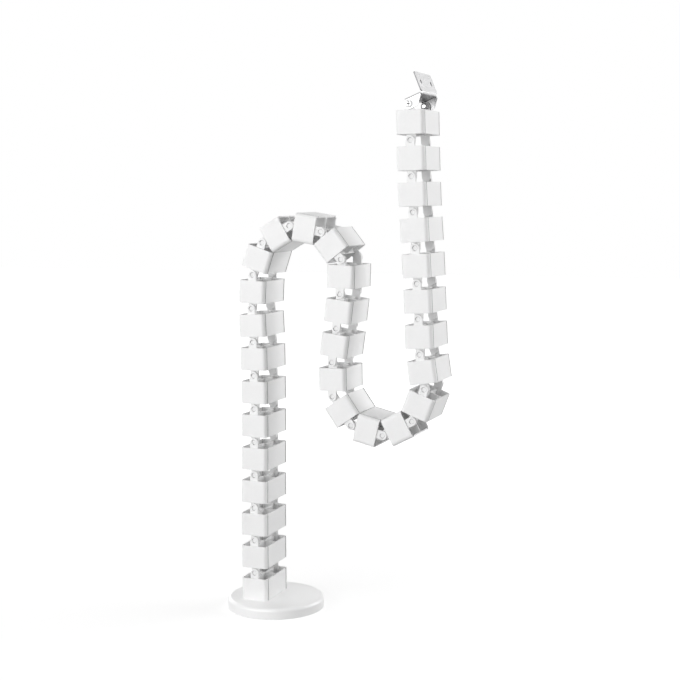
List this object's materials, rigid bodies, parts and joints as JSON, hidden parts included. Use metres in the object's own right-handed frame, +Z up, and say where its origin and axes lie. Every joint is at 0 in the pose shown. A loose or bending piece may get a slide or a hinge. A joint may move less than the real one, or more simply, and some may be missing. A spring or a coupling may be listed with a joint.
{
  "type": "cable spine",
  "caption": "Floor-standing hinged cable spine: a weighted round foot, a chain of box-shaped links with slit cable cells, and a folded desk bracket.",
  "frame": {"origin": "centre of the base's underside, on the floor", "axes": "+Z up; the spine bends in the XZ plane, with its upper end towards +X; -Y is the front, where the narrow faces look"},
  "size_m": [0.2872, 0.1234, 0.6669],
  "materials": {
    "link_plastic": "white moulded plastic, fine satin",
    "base_plastic": "white moulded plastic, fine satin",
    "weight_steel": "turned steel disc",
    "pad_rubber": "matt foam rubber",
    "bracket_steel": "bright zinc-plated sheet",
    "fastener_steel": "bright zinc-plated steel"
  },
  "bodies": {
    "base": {"base_cover": "base_plastic", "base_weight": "weight_steel", "base_pad": "pad_rubber", "foot_screw_front": "fastener_steel", "foot_screw_back": "fastener_steel", "link_01": "link_plastic"},
    "link_02": {"link_02": "link_plastic"},
    "link_03": {"link_03": "link_plastic"},
    "link_04": {"link_04": "link_plastic"},
    "link_05": {"link_05": "link_plastic"},
    "link_06": {"link_06": "link_plastic"},
    "link_07": {"link_07": "link_plastic"},
    "link_08": {"link_08": "link_plastic"},
    "link_09": {"link_09": "link_plastic"},
    "link_10": {"link_10": "link_plastic"},
    "link_11": {"link_11": "link_plastic"},
    "link_12": {"link_12": "link_plastic"},
    "link_13": {"link_13": "link_plastic"},
    "link_14": {"link_14": "link_plastic"},
    "link_15": {"link_15": "link_plastic"},
    "link_16": {"link_16": "link_plastic"},
    "link_17": {"link_17": "link_plastic"},
    "link_18": {"link_18": "link_plastic"},
    "link_19": {"link_19": "link_plastic"},
    "link_20": {"link_20": "link_plastic"},
    "link_21": {"link_21": "link_plastic"},
    "link_22": {"link_22": "link_plastic"},
    "link_23": {"link_23": "link_plastic"},
    "link_24": {"link_24": "link_plastic"},
    "link_25": {"link_25": "link_plastic"},
    "link_26": {"link_26": "link_plastic"},
    "link_27": {"link_27": "link_plastic"},
    "link_28": {"link_28": "link_plastic"},
    "link_29": {"link_29": "link_plastic"},
    "link_30": {"link_30": "link_plastic", "pivot_screw_front": "fastener_steel", "pivot_screw_back": "fastener_steel", "pivot_nut_front": "fastener_steel", "pivot_nut_back": "fastener_steel"},
    "bracket": {"desk_bracket": "bracket_steel"}
  },
  "joints": [
    {"name": "hinge_01", "type": "hinge", "parent": "base", "child": "link_02", "pos_m": [-0.0155, 0, 0.049], "axis": [0, 1, 0], "range_deg": [-42.5, 42.5]},
    {"name": "hinge_02", "type": "hinge", "parent": "link_02", "child": "link_03", "pos_m": [-0.0155, 0, 0.091], "axis": [0, -1, 0], "range_deg": [-42, 43]},
    {"name": "hinge_03", "type": "hinge", "parent": "link_03", "child": "link_04", "pos_m": [-0.01519, 0, 0.133], "axis": [0, 1, 0], "range_deg": [-43, 42]},
    {"name": "hinge_04", "type": "hinge", "parent": "link_04", "child": "link_05", "pos_m": [-0.01456, 0, 0.17499], "axis": [0, -1, 0], "range_deg": [-42.5, 42.5]},
    {"name": "hinge_05", "type": "hinge", "parent": "link_05", "child": "link_06", "pos_m": [-0.01394, 0, 0.21699], "axis": [0, 1, 0], "range_deg": [-42, 43]},
    {"name": "hinge_06", "type": "hinge", "parent": "link_06", "child": "link_07", "pos_m": [-0.01363, 0, 0.25898], "axis": [0, -1, 0], "range_deg": [-43, 42]},
    {"name": "hinge_07", "type": "hinge", "parent": "link_07", "child": "link_08", "pos_m": [-0.01363, 0, 0.30098], "axis": [0, 1, 0], "range_deg": [-41.5, 43]},
    {"name": "hinge_08", "type": "hinge", "parent": "link_08", "child": "link_09", "pos_m": [-0.01425, 0, 0.34298], "axis": [0, -1, 0], "range_deg": [-40.5, 41]},
    {"name": "hinge_09", "type": "hinge", "parent": "link_09", "child": "link_10", "pos_m": [-0.01581, 0, 0.38495], "axis": [0, 1, 0], "range_deg": [-47.5, 31]},
    {"name": "hinge_10", "type": "hinge", "parent": "link_10", "child": "link_11", "pos_m": [-0.01363, 0, 0.42689], "axis": [0, -1, 0], "range_deg": [-24.5, 58]},
    {"name": "hinge_11", "type": "hinge", "parent": "link_11", "child": "link_12", "pos_m": [-0.00013, 0, 0.46666], "axis": [0, 1, 0], "range_deg": [-83.5, 1]},
    {"name": "hinge_12", "type": "hinge", "parent": "link_12", "child": "link_13", "pos_m": [0.03626, 0, 0.48762], "axis": [0, -1, 0], "range_deg": [-2.5, 82]},
    {"name": "hinge_13", "type": "hinge", "parent": "link_13", "child": "link_14", "pos_m": [0.07767, 0, 0.48055], "axis": [0, 1, 0], "range_deg": [-84.5, 0]},
    {"name": "hinge_14", "type": "hinge", "parent": "link_14", "child": "link_15", "pos_m": [0.10361, 0, 0.44752], "axis": [0, -1, 0], "range_deg": [-2.5, 82.5]},
    {"name": "hinge_15", "type": "hinge", "parent": "link_15", "child": "link_16", "pos_m": [0.10221, 0, 0.40554], "axis": [0, 1, 0], "range_deg": [-47.5, 34.5]},
    {"name": "hinge_16", "type": "hinge", "parent": "link_16", "child": "link_17", "pos_m": [0.09708, 0, 0.36386], "axis": [0, -1, 0], "range_deg": [-41.5, 43]},
    {"name": "hinge_17", "type": "hinge", "parent": "link_17", "child": "link_18", "pos_m": [0.09133, 0, 0.32226], "axis": [0, 1, 0], "range_deg": [-29.5, 51]},
    {"name": "hinge_18", "type": "hinge", "parent": "link_18", "child": "link_19", "pos_m": [0.09181, 0, 0.28026], "axis": [0, -1, 0], "range_deg": [-76.5, 8.5]},
    {"name": "hinge_19", "type": "hinge", "parent": "link_19", "child": "link_20", "pos_m": [0.11574, 0, 0.24575], "axis": [0, 1, 0], "range_deg": [-0.5, 84]},
    {"name": "hinge_20", "type": "hinge", "parent": "link_20", "child": "link_21", "pos_m": [0.15658, 0, 0.23593], "axis": [0, -1, 0], "range_deg": [-83, 1.5]},
    {"name": "hinge_21", "type": "hinge", "parent": "link_21", "child": "link_22", "pos_m": [0.19387, 0, 0.25524], "axis": [0, 1, 0], "range_deg": [-1, 83.5]},
    {"name": "hinge_22", "type": "hinge", "parent": "link_22", "child": "link_23", "pos_m": [0.20913, 0, 0.29437], "axis": [0, -1, 0], "range_deg": [-71.5, 13]},
    {"name": "hinge_23", "type": "hinge", "parent": "link_23", "child": "link_24", "pos_m": [0.20322, 0, 0.33595], "axis": [0, 1, 0], "range_deg": [-25.5, 37]},
    {"name": "hinge_24", "type": "hinge", "parent": "link_24", "child": "link_25", "pos_m": [0.20134, 0, 0.37791], "axis": [0, -1, 0], "range_deg": [-42, 34]},
    {"name": "hinge_25", "type": "hinge", "parent": "link_25", "child": "link_26", "pos_m": [0.19978, 0, 0.41988], "axis": [0, 1, 0], "range_deg": [-41.5, 43]},
    {"name": "hinge_26", "type": "hinge", "parent": "link_26", "child": "link_27", "pos_m": [0.1976, 0, 0.46182], "axis": [0, -1, 0], "range_deg": [-43, 41.5]},
    {"name": "hinge_27", "type": "hinge", "parent": "link_27", "child": "link_28", "pos_m": [0.19479, 0, 0.50373], "axis": [0, 1, 0], "range_deg": [-43.5, 41]},
    {"name": "hinge_28", "type": "hinge", "parent": "link_28", "child": "link_29", "pos_m": [0.19292, 0, 0.54568], "axis": [0, -1, 0], "range_deg": [-41.5, 43]},
    {"name": "hinge_29", "type": "hinge", "parent": "link_29", "child": "link_30", "pos_m": [0.19167, 0, 0.58766], "axis": [0, 1, 0], "range_deg": [-43, 42]},
    {"name": "bracket_hinge", "type": "hinge", "parent": "link_30", "child": "bracket", "pos_m": [0.19073, 0, 0.62965], "axis": [0, -1, 0], "range_deg": [-25, 66]}
  ]
}
